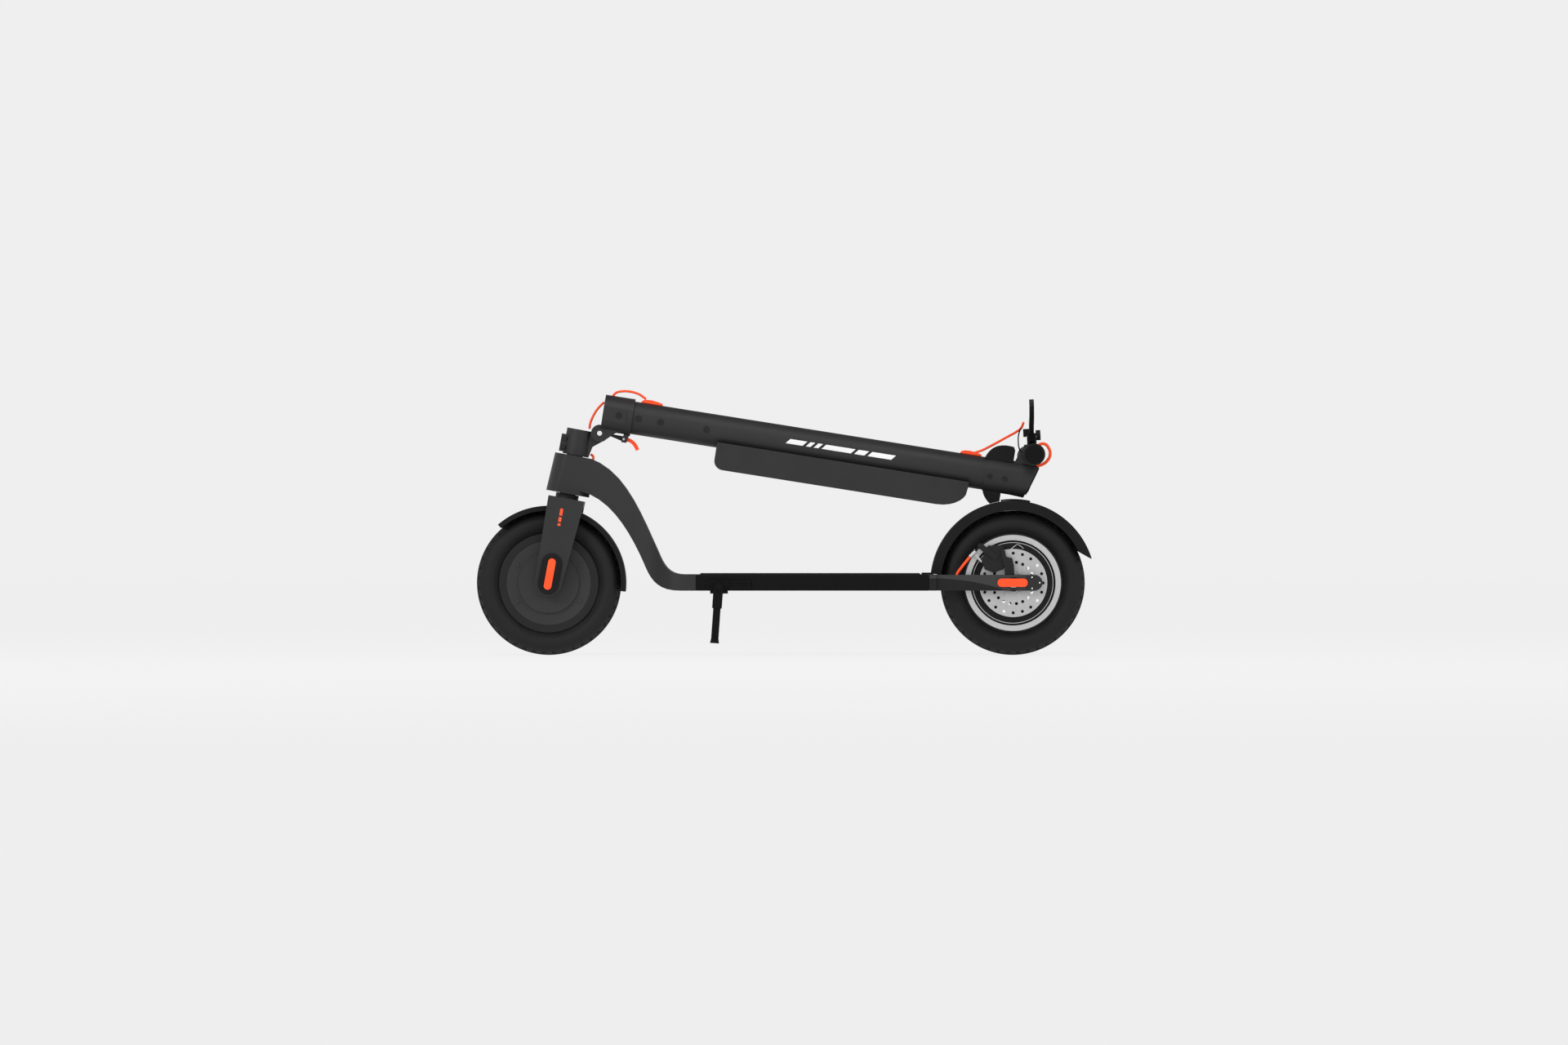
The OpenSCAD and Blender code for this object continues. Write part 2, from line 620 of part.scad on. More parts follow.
// Head clamp with the lower hinge leaf
ear_r = 15.2;
leaf_half = 9;
ear_out = 18;
module head_clamp() {
  color("#3c3c3c") steering() difference() {
    union() {
      translate([0, 0, clamp_bot]) cylinder(r = clamp_r, h = clamp_h);
      translate([-clamp_r - 7, -12, clamp_bot + 3]) cube([20, 24, 31]);
      translate([fold_off, 0, clamp_top]) y_cyl(ear_r, -leaf_half, leaf_half);
      side_plate(-leaf_half, leaf_half) polygon([[clamp_r - 6, clamp_bot], [clamp_r + 2, clamp_bot],
        [clamp_r + 6, clamp_top - 26], [fold_off + 10, clamp_top - 11], [fold_off, clamp_top],
        [clamp_r - 6, clamp_top]]);
    }
    translate([0, 0, clamp_bot - 1]) cylinder(r = steerer_r + seat, h = clamp_h + 2);
    translate([-60, -1.2, clamp_bot - 1]) cube([60, 2.4, clamp_h + 2]);
    for (z = [clamp_bot + 11, clamp_bot + 26]) translate([-clamp_r - 1, 0, z]) y_cyl(2.5 + seat, -40, 40);
    translate([fold_off, 0, clamp_top]) y_cyl(pin_r, -40, 40);
  }
}
module hinge_fasteners() {
  color("#8c8c8c") steering() for (z = [clamp_bot + 11, clamp_bot + 26])
    translate([-clamp_r - 1, 0, z]) {
      y_cyl(2.5, -12, 12);
      y_cyl(4.2, -15, -12);
    }
  color("#e6e6e6") translate(pivot) y_cyl(pin_r, -ear_out - 0.5, ear_out + 0.5);
}

// Stem base: a flat-sided casting with two outer hinge ears
base_half = stem_r + 2;
module stem_base() {
  color("#363636") on_stem() difference() {
    union() {
      intersection() {
        translate([0, 0, gap]) cylinder(r = stem_r + 4, h = base_s - gap);
        translate([-60, -base_half, 0]) cube([60 + stem_r + 2, 2 * base_half, base_s]);
      }
      both_sides(leaf_half + gap, ear_out) {
        translate([fold_off, 0]) circle(r = ear_r);
        polygon([[10, gap], [fold_off, 0], [fold_off + 10, 11], [stem_r - 1, base_s - 12],
                 [10, base_s - 12]]);
      }
    }
    translate([fold_off, 0, 0]) y_cyl(ear_r + gap, -leaf_half - gap, leaf_half + gap);
    translate([fold_off, 0, 0]) y_cyl(pin_r + run_fit, -60, 60);
    translate([0, 0, 14]) cylinder(r = stem_r + seat, h = base_s);
    translate([-stem_r + 4, 0, -1]) cylinder(r = 3.4, h = 30);
    translate([12, -leaf_half - gap, 14]) cube([60, 2 * (leaf_half + gap), base_s]);
  }
}
module stem_tube() {
  color("#383838") on_stem() difference() {
    translate([0, 0, 14]) cylinder(r = stem_r, h = hook_s + 6 - 14);
    translate([0, 0, 13]) cylinder(r = stem_r - stem_wall, h = hook_s);
    for (g = grommet_s) translate([-stem_r, 0, g + 20]) cube([12, 6, 12], center = true);
  }
}
grommet_s = [64, head_s - 48];
latch_pivot = [stem_r + 10.7, 43.4];
module stem_collar() {
  color("#2e2e2e") on_stem() difference() {
    union() {
      translate([0, 0, collar_s - 6.4]) cylinder(r = stem_r + 4, h = 10);
      both_sides(4 + gap, 9) polygon([[stem_r - 3, collar_s - 6.4], [latch_pivot[0] + 6, latch_pivot[1] - 4],
        [latch_pivot[0] + 6, latch_pivot[1] + 5], [stem_r - 3, collar_s + 3.6]]);
    }
    translate([0, 0, base_s - 10]) cylinder(r = stem_r + seat, h = 40);
    translate([latch_pivot[0], 0, latch_pivot[1]]) y_cyl(2, -40, 40);
  }
}
module latch_lever() {
  color("#202020") on_stem() difference() {
    side_plate(-4, 4) {
      polygon([[stem_r + 5.4, 16.4], [stem_r + 8.6, 16.4], [latch_pivot[0] + 4, latch_pivot[1] - 3],
               [latch_pivot[0] + 4, latch_pivot[1] + 4], [latch_pivot[0] - 2, latch_pivot[1] + 5],
               [latch_pivot[0] - 5, latch_pivot[1] - 2]]);
    }
    translate([latch_pivot[0], 0, latch_pivot[1]]) y_cyl(2 + run_fit, -40, 40);
  }
  c = [latch_pivot[0] - 3.4, latch_pivot[1] + 3.6];
  top = curve([c, c + [0, 12], c + [6, 20], c + [17, 26]], 6);
  low = curve([c + [20.5, 21], c + [11, 15], c + [6, 9], c + [7, 1]], 6);
  color("#ff5a2b") on_stem() side_plate(-4, 4) polygon(concat(top, low));
}
module lever_pins() {
  color("#9a9a9a") on_stem() translate([latch_pivot[0], 0, latch_pivot[1]]) y_cyl(2, -9.5, 9.5);
  color("#9a9a9a") on_bar() translate([lever_pivot[0], lever_pivot[1], -8.5])
    cylinder(r = 2.5, h = 17);
}
module stem_screws() {
  color("#1a1a1a") on_stem() for (m = [0, 1]) mirror([0, m, 0]) {
    translate([0, 0, 29]) y_cyl(5.4, base_half, base_half + 1.6);
    for (s = [64, 103, 185]) translate([0, 0, s])
      y_cyl(5.4, stem_r, stem_r + 1.6);
    for (s = [9, 36]) translate([4, 0, head_s + s]) y_cyl(4.6, head_r, head_r + 1.6);
  }
}
// Battery case, saddled on the back of the stem tube
case_wall = 3;
case_r = 16;
module battery_outline(inset) {
  lo = battery_start + inset;
  hi = battery_end - inset;
  deep = battery_depth - inset;
  r = case_r - inset;
  polygon(concat([[battery_seam, lo]],
    arc([deep - r, lo + r], r, -90, 0, 6),
    curve([[deep, hi - 52], [deep, hi - 26], [deep - 12, hi - 8], [deep - 24, hi - 3]], 6),
    [[battery_seam, hi]]));
}
module battery_case() {
  color("#383838") on_stem() difference() {
    side_plate(-battery_half_w, battery_half_w) battery_outline(0);
    cylinder(r = stem_r + seat, h = battery_end + 20);
    intersection() {
      side_plate(-battery_half_w + case_wall, battery_half_w - case_wall) battery_outline(case_wall);
      translate([stem_r + 3, -60, 0]) cube([60, 120, 900]);
    }
  }
}
cell_r = 9;
module battery_cells() {
  color("#3a6ea5") on_stem() for (y = [-1, 0, 1])
    for (k = [0:floor((battery_len - 90) / 66) - 1])
      translate([stem_r + 3.2 + cell_r, y * 19.5, battery_start + 26 + 66 * k])
        cylinder(r = cell_r, h = 65, $fn = 24);
}
// Head casting with the bar clamp and the slanted display face
head_r = stem_r + 1.2;
face_a = 17.6;
module head_casting() {
  color("#363636") on_stem() difference() {
    union() {
      translate([0, 0, head_s]) cylinder(r = head_r, h = 50);
      translate([0, 0, head_s + 50]) cylinder(r1 = head_r, r2 = 34, h = 56);
      side_plate(-15, 15) polygon(concat([[-6, head_s + 50]],
        curve([[-stem_r, head_s + 50], [-stem_r - 8, head_s + 52],
               [-bar_h + 6, head_s + 54], [-bar_h - 17, head_s + 62]], 6),
        [[-bar_h - 17, bar_s + 8], [-6, bar_s + 20]]));
      translate([-bar_h, 0, bar_s]) y_cyl(bar_r + 5, -26, 26);
    }
    translate([0, 0, head_end_s]) rotate([0, face_a, 0]) translate([-90, -60, 0]) cube([180, 120, 80]);
    translate([0, 0, head_s - 1]) cylinder(r = stem_r + seat, h = 28);
    translate([0, 0, head_s]) cylinder(r = stem_r - 4, h = 64);
    translate([-bar_h, 0, bar_s]) y_cyl(bar_r + seat, -60, 60);
  }
}
module on_face() {
  on_stem() translate([0, 0, head_end_s]) rotate([0, face_a, 0]) children();
}
module display() {
  color("#101418") on_face() difference() {
    translate([0, 0, 0]) cylinder(r = 27, h = 2.4);
    translate([16, 0, -1]) cylinder(r = button_r + run_fit, h = 8);
  }
}
button_r = 5;
module power_button() {
  color("#d8d8d8") on_face() translate([16, 0, 1]) cylinder(r = button_r, h = 2.6);
}
light_c = [-24, hook_s + 7];
module headlight_housing() {
  color("#2e2e2e") on_stem() difference() {
    intersection() {
      side_plate(-17, 17) polygon(concat(
        curve([[-stem_r + 3, hook_s - 24], [-stem_r - 18, hook_s - 18],
               [-58, hook_s - 4], [-54, hook_s + 24]], 10),
        [[-48, hook_s + 27], [-stem_r + 3, hook_s + 27]]));
      translate([-38, 0, hook_s]) rotate([0, 90, 0]) cylinder(r = 32, h = 60, center = true);
    }
    translate([0, 0, head_s - 5]) cylinder(r = head_r + seat, h = 60);
    translate([-70, 0, hook_s + 4]) rotate([0, 82, 0]) cylinder(r = 13, h = 22);
  }
}
module headlight_lens() {
  color("#e8eef2") on_stem() translate([-70, 0, hook_s + 4]) rotate([0, 82, 0])
    translate([0, 0, 17]) cylinder(r = 13, h = 5);
}
module stem_hook() {
  color("#2a2a2a") difference() {
    on_stem() side_plate(-9, 9) polygon(concat([[20, hook_s - 19]],
      curve([[head_r - 1, hook_s - 19], [head_r + 8, hook_s - 17],
             [head_r + 20, hook_s - 8], [head_r + 24, hook_s + 4]], 6),
      [[head_r + 22, hook_s + 13.5], [20, hook_s + 13.5]]));
    on_stem() translate([0, 0, head_s - 10]) cylinder(r = head_r + seat, h = 60);
    translate([rear_x, 0, axle_z]) y_cyl(guard_r + gap, -60, 60);
    translate([rear_x - 21.5, -60, axle_z]) cube([200, 120, guard_r + 12]);
  }
}
module stem_grommets() {
  color("#ff5a2b") on_stem() for (i = [0, 1]) difference() {
    side_plate(-5, 5) polygon(concat([[-stem_r + 1, grommet_s[i]]],
      curve([[-stem_r - 2, grommet_s[i]], [-stem_r - 9, grommet_s[i] + 4],
             [-stem_r - 7, grommet_s[i] + 26], [-stem_r - 3, grommet_s[i] + 38]], 6),
      [[-stem_r + 1, grommet_s[i] + 38]]));
    cylinder(r = stem_r + seat, h = 900);
  }
}

// Handlebar group: X forward is negative, Z runs on along the stem
lever_lean = -12;
module on_bar() {
  on_stem() translate([-bar_h, 0, bar_s]) rotate([0, lever_lean, 0]) children();
}
module handlebar() {
  color("#1f1f1f") on_stem() translate([-bar_h, 0, bar_s]) difference() {
    y_cyl(bar_r, -bar_w / 2 + 3, bar_w / 2 - 3);
    y_cyl(bar_r - 2.2, -bar_w, bar_w);
  }
  color("#202020") on_stem() translate([-bar_h, 0, bar_s]) mirrored() {
    y_cyl(grip_r - 1, bar_w / 2 - 3, bar_w / 2);
    y_cyl(bar_r - 2.2, bar_w / 2 - 20, bar_w / 2 - 3);
  }
}
module grips() {
  color("#1a1a1a") on_stem() translate([-bar_h, 0, bar_s]) mirrored() difference() {
    union() {
      y_cyl(grip_r, bar_w / 2 - grip_len, bar_w / 2 - 3);
      y_cyl(grip_r + 2, bar_w / 2 - grip_len, bar_w / 2 - grip_len + 5);
    }
    y_cyl(bar_r + seat, 0, bar_w);
  }
}
perch_y = -bar_w / 2 + grip_len + 6;
lever_pivot = [-31, perch_y + 2];
module brake_perch() {
  color("#181818") on_bar() difference() {
    union() {
      y_cyl(bar_r + 5, perch_y, perch_y + 15);
      translate([-38, perch_y - 5, -8]) cube([32, 24, 16]);
      translate([-46, perch_y + 12, -14]) cube([14, 10, 14]);
      translate([-34, perch_y + 18, 8]) cylinder(r = 9, h = 8);
    }
    y_cyl(bar_r + seat, perch_y - 10, perch_y + 30);
    translate([-60, perch_y - 8, -4 - gap]) cube([46, 19, 8 + 2 * gap]);
    translate([lever_pivot[0], lever_pivot[1], -20]) cylinder(r = 2.5, h = 40);
  }
}
module brake_lever() {
  p = lever_pivot;
  front = concat(
    curve([p + [-9, 8], p + [-22, 2], p + [-30, -14], p + [-32, -36]], 6),
    curve([p + [-36, -56], p + [-46, -80], p + [-58, -96], p + [-62, -102]], 6));
  back = concat(
    curve([p + [-54, -106], p + [-46, -98], p + [-32, -76], p + [-24, -54]], 6),
    curve([p + [-20, -36], p + [-12, -20], p + [-4, -10], p + [7, -7]], 6));
  color("#151515") on_bar() difference() {
    union() {
      translate([0, 0, -4]) linear_extrude(8) polygon(concat(front, back, [p + [7, 7]]));
      translate([p[0] - 58, p[1] - 102, 0]) cylinder(r = 7, h = 8, center = true);
    }
    translate([p[0], p[1], -20]) cylinder(r = 2.5 + run_fit, h = 40);
  }
}
throttle_y = bar_w / 2 - grip_len - 6;
module throttle_housing() {
  color("#1b1b1b") on_stem() translate([-bar_h, 0, bar_s]) difference() {
    union() {
      y_cyl(bar_r + 7, throttle_y - 30, throttle_y - 14);
      translate([-bar_r - 16, throttle_y - 30, -8]) cube([16, 16, 16]);
    }
    y_cyl(bar_r + seat, -bar_w, bar_w);
  }
}
module throttle_paddle() {
  color("#141414") on_stem() translate([-bar_h, 0, bar_s]) difference() {
    union() {
      y_cyl(bar_r + 6, throttle_y - 14 + gap, throttle_y - gap);
      side_plate(throttle_y - 11, throttle_y - 2) rotate([0, 0, -35]) translate([0, -4]) square([36, 8]);
      translate([28, throttle_y - 7, -22]) y_cyl(5, -6, 5.4);
    }
    y_cyl(bar_r + run_fit, -bar_w, bar_w);
  }
}

// A round cable swept along a route, with flat ends
function unit(v) = v / norm(v);
function tangent(p, i) = unit(p[min(i + 1, len(p) - 1)] - p[max(i - 1, 0)]);
function side_of(t) = unit(cross(t, abs(t[1]) < 0.9 ? [0, 1, 0] : [1, 0, 0]));
module cable(p, r, sides = 8) {
  n = len(p);
  rings = [for (i = [0:n - 1]) let (t = tangent(p, i), u = side_of(t), v = cross(t, u))
    for (k = [0:sides - 1]) p[i] + r * (u * cos(360 * k / sides) + v * sin(360 * k / sides))];
  faces = [for (i = [0:n - 2]) for (k = [0:sides - 1]) let (m = (k + 1) % sides)
    [i * sides + k, (i + 1) * sides + k, (i + 1) * sides + m, i * sides + m]];
  ends = [[for (k = [0:sides - 1]) k], [for (k = [sides - 1:-1:0]) (n - 1) * sides + k]];
  polyhedron(points = rings, faces = concat(faces, ends), convexity = 4);
}
// Extra points on a smooth curve through a route
function through(p, n = 3) = concat([for (i = [0:len(p) - 2]) for (k = [0:n - 1])
  let (a = p[max(i - 1, 0)], b = p[i], c = p[i + 1], d = p[min(i + 2, len(p) - 1)], t = k / n)
  0.5 * (2 * b + (c - a) * t + (2 * a - 5 * b + 4 * c - d) * t * t
         + (3 * b - a - 3 * c + d) * t * t * t)], [p[len(p) - 1]]);
brake_cable_r = 2.2;
rear_cable_r = 2.5;
loop_cable_r = 2.8;
lower_route = [[-243, 0, 451], [-254, 0, 459], [-264, 0, 463], [-275, 0, 465], [-286, 0, 465],
               [-295, 0, 463], [-302, 0, 457]];
fold_route = [[-315.9, 0, 451.4], [-327, 0, 436], [-334, 0, 426], [-339, 0, 416], [-342, 0, 407],
              [-343, 0, 399]];
steer_route = [[-341, 0, 354], [-337, 0, 351], [-336, 0, 347], [-338, 0, 344], [-340, 0, 341]];
upper_route = [[337, 0, 357], [349, -1, 361], [361, -4, 367], [376, -14, 375], [394, -34, 385], [408, -56, 393],
               [417, -76, 401], [420, -84, 409]];
loop_route = [[448, -36, 371], [458, -38, 372], [466, -38, 364], [468, -36, 352], [463, -30, 342],
              [455, -22, 336], [446, -16, 333]];
rear_route = [[303, -54, 141], [306, -54, 147], [312, -54, 155], [319, -54, 164], [327, -54, 174]];
boot_route = [[334, -54, 182], [337, -54, 185], [339, -54, 187]];
module stem_cables() {
  color("#ff5a2b") {
    cable(through(lower_route), brake_cable_r);
    cable(through(upper_route), brake_cable_r);
    cable(through(loop_route), loop_cable_r);
  }
}
module fold_cable() { color("#ff5a2b") cable(through(fold_route), brake_cable_r); }
module steer_cable() { color("#ff5a2b") cable(through(steer_route), brake_cable_r); }
module rear_cable() { color("#ff5a2b") cable(through(rear_route), rear_cable_r); }
module cable_boot() { color("#141414") cable(through(boot_route), 2); }
module cable_grommets() {
  color("#1a1a1a") {
    translate(neck_port) rotate([0, 60, 0]) translate([0, 0, -7]) cylinder(r = grommet_r, h = 6);
  }
}

front_tyre();
motor_rim();
motor_covers();
motor_stator();
front_axle();
fork();
fork_covers();
fork_reflectors();
front_mudguard();
neck_casting();
headset_bearings();
deck_shell();
deck_mat();
controller();
rear_yoke();
arm_covers();
rear_reflectors();
rear_axle();
rear_tyre();
rear_wheel();
wheel_bearings();
brake_rotor();
rear_mudguard();
guard_catch();
caliper_body();
brake_pads();
caliper_bracket();
caliper_arm();
cable_adjuster();
kickstand_bracket();
kickstand_leg();
head_clamp();
hinge_fasteners();
stem_base();
stem_tube();
stem_collar();
latch_lever();
lever_pins();
stem_screws();
battery_case();
battery_cells();
head_casting();
display();
power_button();
headlight_housing();
headlight_lens();
stem_hook();
stem_grommets();
handlebar();
grips();
brake_perch();
brake_lever();
throttle_housing();
throttle_paddle();
stem_cables();
fold_cable();
steer_cable();
rear_cable();
cable_boot();
cable_grommets();
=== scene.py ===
import json
from math import atan2, cos, pi, radians, sin
import bmesh
import bpy
from mathutils import Matrix, Vector


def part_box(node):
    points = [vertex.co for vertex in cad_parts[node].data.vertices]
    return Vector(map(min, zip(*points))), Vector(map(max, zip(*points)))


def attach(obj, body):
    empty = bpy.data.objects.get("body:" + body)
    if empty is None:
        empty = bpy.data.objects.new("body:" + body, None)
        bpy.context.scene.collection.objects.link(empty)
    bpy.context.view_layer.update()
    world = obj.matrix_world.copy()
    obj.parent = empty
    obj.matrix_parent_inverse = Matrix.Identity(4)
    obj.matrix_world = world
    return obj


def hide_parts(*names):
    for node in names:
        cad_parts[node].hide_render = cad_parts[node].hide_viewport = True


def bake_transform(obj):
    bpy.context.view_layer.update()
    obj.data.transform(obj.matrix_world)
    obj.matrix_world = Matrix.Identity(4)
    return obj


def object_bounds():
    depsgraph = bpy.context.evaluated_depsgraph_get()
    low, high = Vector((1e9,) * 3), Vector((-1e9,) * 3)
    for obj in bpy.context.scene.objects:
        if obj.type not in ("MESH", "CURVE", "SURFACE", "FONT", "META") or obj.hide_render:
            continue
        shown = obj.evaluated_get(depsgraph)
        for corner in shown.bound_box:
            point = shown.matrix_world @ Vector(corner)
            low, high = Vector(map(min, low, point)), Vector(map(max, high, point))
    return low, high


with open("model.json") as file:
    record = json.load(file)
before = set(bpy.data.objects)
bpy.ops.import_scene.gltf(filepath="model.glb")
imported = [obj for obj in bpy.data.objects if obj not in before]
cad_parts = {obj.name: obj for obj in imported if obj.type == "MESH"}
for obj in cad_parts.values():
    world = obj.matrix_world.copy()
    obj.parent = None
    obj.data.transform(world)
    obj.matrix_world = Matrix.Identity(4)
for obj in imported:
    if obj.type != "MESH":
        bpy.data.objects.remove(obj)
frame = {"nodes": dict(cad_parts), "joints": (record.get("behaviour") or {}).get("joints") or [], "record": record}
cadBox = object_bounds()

print("frame loaded")
joints = {j["name"]: j for j in frame["joints"]}
bodyOf = {n: b for b, names in frame["record"]["behaviour"]["bodies"].items() for n in names}
slotOf = {s["node"]: s["material_slot"] for s in frame["record"]["subparts"]}


def middle(node):  # a node's centre and its half sizes
    low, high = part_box(node)
    return (low + high) / 2, (high - low) / 2


def ringOf(point, centre=Vector((0, 0, 0))):  # distance from an axis along y
    return ((point.x - centre.x) ** 2 + (point.z - centre.z) ** 2) ** 0.5


# shader maths

def colour(code):  # sRGB hex to linear
    parts = [int(code[i:i + 2], 16) / 255 for i in (1, 3, 5)]
    return tuple(c / 12.92 if c <= 0.04045 else ((c + 0.055) / 1.055) ** 2.4 for c in parts) + (1,)


class Sock:  # a node's output, where arithmetic adds Math nodes
    def __init__(self, tree, socket):
        self.tree, self.socket = tree, socket

    def math(self, kind, other, flip=False):
        node = self.tree.nodes.new("ShaderNodeMath")
        node.operation = kind
        for i, value in enumerate([other, self] if flip else [self, other]):
            if isinstance(value, Sock):
                self.tree.links.new(value.socket, node.inputs[i])
            else:
                node.inputs[i].default_value = value
        return Sock(self.tree, node.outputs[0])

    def __add__(self, other):
        return self.math("ADD", other)

    def __radd__(self, other):
        return self.math("ADD", other, True)

    def __sub__(self, other):
        return self.math("SUBTRACT", other)

    def __rsub__(self, other):
        return self.math("SUBTRACT", other, True)

    def __mul__(self, other):
        return self.math("MULTIPLY", other)

    def __rmul__(self, other):
        return self.math("MULTIPLY", other, True)

    def __gt__(self, other):
        return self.math("GREATER_THAN", other)

    def __lt__(self, other):
        return self.math("LESS_THAN", other)

    def power(self, other):
        return self.math("POWER", other)


class Finish:  # a material under construction
    def __init__(self, name, metallic=0.0, specular=0.5):
        self.material = bpy.data.materials.new(name)
        self.material.use_nodes = True
        self.tree = self.material.node_tree
        self.shader = self.tree.nodes["Principled BSDF"]
        self.shader.inputs["Metallic"].default_value = metallic
        self.shader.inputs["Specular IOR Level"].default_value = specular

    def node(self, kind, settings=None, output=0, **values):  # i3 stands for the fourth socket
        made = self.tree.nodes.new(kind)
        for key, value in (settings or {}).items():
            setattr(made, key, value)
        for key, value in values.items():
            target = made.inputs[int(key[1:])] if key[0] == "i" and key[1:].isdigit() else made.inputs[key]
            if isinstance(value, Sock):
                self.tree.links.new(value.socket, target)
            else:
                target.default_value = value
        return Sock(self.tree, made.outputs[output])

    def place(self):  # Object coordinates
        return self.node("ShaderNodeTexCoord", output=3)

    def axes(self):
        split = self.node("ShaderNodeSeparateXYZ", Vector=self.place())
        outs = split.socket.node.outputs
        return [Sock(self.tree, outs[i]) for i in range(3)]

    def noise(self, scale, detail=3.0, rough=0.5):
        return self.node("ShaderNodeTexNoise", Vector=self.place(), Scale=scale, Detail=detail,
                         Roughness=rough)

    def ramp(self, value, low, high):
        return self.node("ShaderNodeMapRange", Value=value, i1=low, i2=high)

    def mix(self, factor, first, second):
        return self.node("ShaderNodeMix", {"data_type": "RGBA"}, output=2, i0=factor, i6=first, i7=second)

    def bump(self, height, distance):
        return self.node("ShaderNodeBump", Height=height, Distance=distance, Strength=1.0)

    def done(self, base, rough, normal=None, **more):
        links = {"Base Color": base, "Roughness": rough, "Normal": normal, **more}
        for key, value in links.items():
            if isinstance(value, Sock):
                self.tree.links.new(value.socket, self.shader.inputs[key])
            elif value is not None:
                self.shader.inputs[key].default_value = value
        return self.material


# finishes: each look holds the scales of its patterns and the depth of its grain

paintLook = {"cloud": 14, "speck": 2600, "scuff": 90, "scuffColour": "#6a6a6a", "grain": 0.00002}


def paintFinish(name, code, light, rough, specular=0.3):
    m = Finish(name, specular=specular)
    cloud = m.ramp(m.noise(paintLook["cloud"], 4), 0.35, 0.65)
    speck = m.noise(paintLook["speck"], 2)
    base = m.mix(cloud * 0.5, colour(code), colour(light))
    scuff = m.ramp(m.noise(paintLook["scuff"], 6, 0.7), 0.68, 0.8)
    base = m.mix(scuff * 0.12, base, colour(paintLook["scuffColour"]))
    return m.done(base, cloud * 0.08 + scuff * 0.1 + rough, m.bump(speck, paintLook["grain"]))


plasticLook = {"cloud": 20, "pebble": 1500, "grain": 0.00004}


def plasticFinish(name, code, light, rough=0.5, grain=plasticLook["grain"], specular=0.3):
    m = Finish(name, specular=specular)
    pebble = m.node("ShaderNodeTexVoronoi", {"feature": "SMOOTH_F1"}, Vector=m.place(),
                    Scale=plasticLook["pebble"])
    cloud = m.ramp(m.noise(plasticLook["cloud"], 4), 0.3, 0.7)
    base = m.mix(cloud, colour(code), colour(light))
    return m.done(base, cloud * 0.1 + rough, m.bump(pebble, grain))


rubberLook = {"dust": 38, "pore": 900, "grain": 0.00005}


def rubberFinish(name, code, light, rough=0.62):
    m = Finish(name, specular=0.25)
    dust = m.ramp(m.noise(rubberLook["dust"], 6, 0.65), 0.45, 0.75)
    base = m.mix(dust * 0.6, colour(code), colour(light))
    return m.done(base, dust * 0.16 + rough, m.bump(m.noise(rubberLook["pore"]), rubberLook["grain"]))


metalLook = {"lines": 500, "stain": 30, "stainColour": "#8d8a84", "grain": 0.00003}


def metalFinish(name, code, light, rough):
    m = Finish(name, metallic=1.0)
    lines = m.noise(metalLook["lines"], 4, 0.6)
    stain = m.ramp(m.noise(metalLook["stain"], 5), 0.4, 0.8)
    base = m.mix(lines, colour(code), colour(light))
    base = m.mix(stain * 0.2, base, colour(metalLook["stainColour"]))
    return m.done(base, lines * 0.12 + stain * 0.08 + rough, m.bump(lines, metalLook["grain"]))


finishes = {
    "black_paint": paintFinish("satinPaint", "#242425", "#2a2a2b", rough=0.5),
    "motor_black": paintFinish("motorPaint", "#29292a", "#313132", rough=0.38),
    "deck_black": paintFinish("deckPaint", "#050506", "#0a0a0b", rough=0.45, specular=0.12),
    "black_plastic": plasticFinish("grainedPlastic", "#0f0f10", "#151516", specular=0.15),
    "battery_plastic": plasticFinish("batteryPlastic", "#212122", "#262627", rough=0.46, grain=0.00002),
    "orange": plasticFinish("orangePlastic", "#ff4a1a", "#ff5a28", rough=0.42),
    "rubber_tyre": rubberFinish("tyreRubber", "#151516", "#202020"),
    "grip_rubber": rubberFinish("gripRubber", "#0f0f0f", "#181818", rough=0.7),
    "bright_metal": metalFinish("castAluminium", "#c6c6c6", "#dcdcdc", rough=0.34),
    "steel": metalFinish("steel", "#b4b4b4", "#d0d0d0", rough=0.26),
    "brake_black": paintFinish("brakePaint", "#0e0e0f", "#151516", rough=0.4),
    "copper": metalFinish("copperWire", "#b06a3a", "#d08a52", rough=0.3),
    "cell_wrap": plasticFinish("cellWrap", "#2c5fa0", "#3468aa", rough=0.3),
    "screen": plasticFinish("screenGlass", "#08090a", "#0b0c0e", rough=0.08, grain=0.0),
    "lens_clear": plasticFinish("lensPlastic", "#d8dde0", "#eef2f4", rough=0.06, grain=0.0),
    "button_silver": plasticFinish("buttonPlastic", "#b8b8b8", "#cccccc", rough=0.35),
}


def distance(x, z, centreX, centreZ):  # from an axis along y, as a shader value
    return ((x - centreX).power(2) + (z - centreZ).power(2)).power(0.5)


wheelLook = {"rim": (0.0746, 0.0845), "line": (0.0705, 0.0716), "dark": "#101011",
             "bright": ("#b9b9b9", "#d6d6d6")}


def wheelFinish():  # a bright rim ring and a thin bright line on a dark casting
    m = Finish("rearWheelCasting", specular=0.3)
    centre = middle("rear_wheel")[0]
    x, y, z = m.axes()
    ring = distance(x, z, centre.x, centre.z)
    rim, line = [(ring > low) * (ring < high) for low, high in (wheelLook["rim"], wheelLook["line"])]
    bright = rim + line
    turned = m.noise(400, 4)
    metal = m.mix(turned, colour(wheelLook["bright"][0]), colour(wheelLook["bright"][1]))
    base = m.mix(bright, colour(wheelLook["dark"]), metal)
    return m.done(base, 0.5 - bright * 0.2 + turned * 0.06, m.bump(turned, 0.00002), Metallic=bright * 0.9)


matLook = {"groove": 38, "grooveDepth": 0.0012, "dust": 30, "dark": "#141415", "light": "#1e1e1f"}


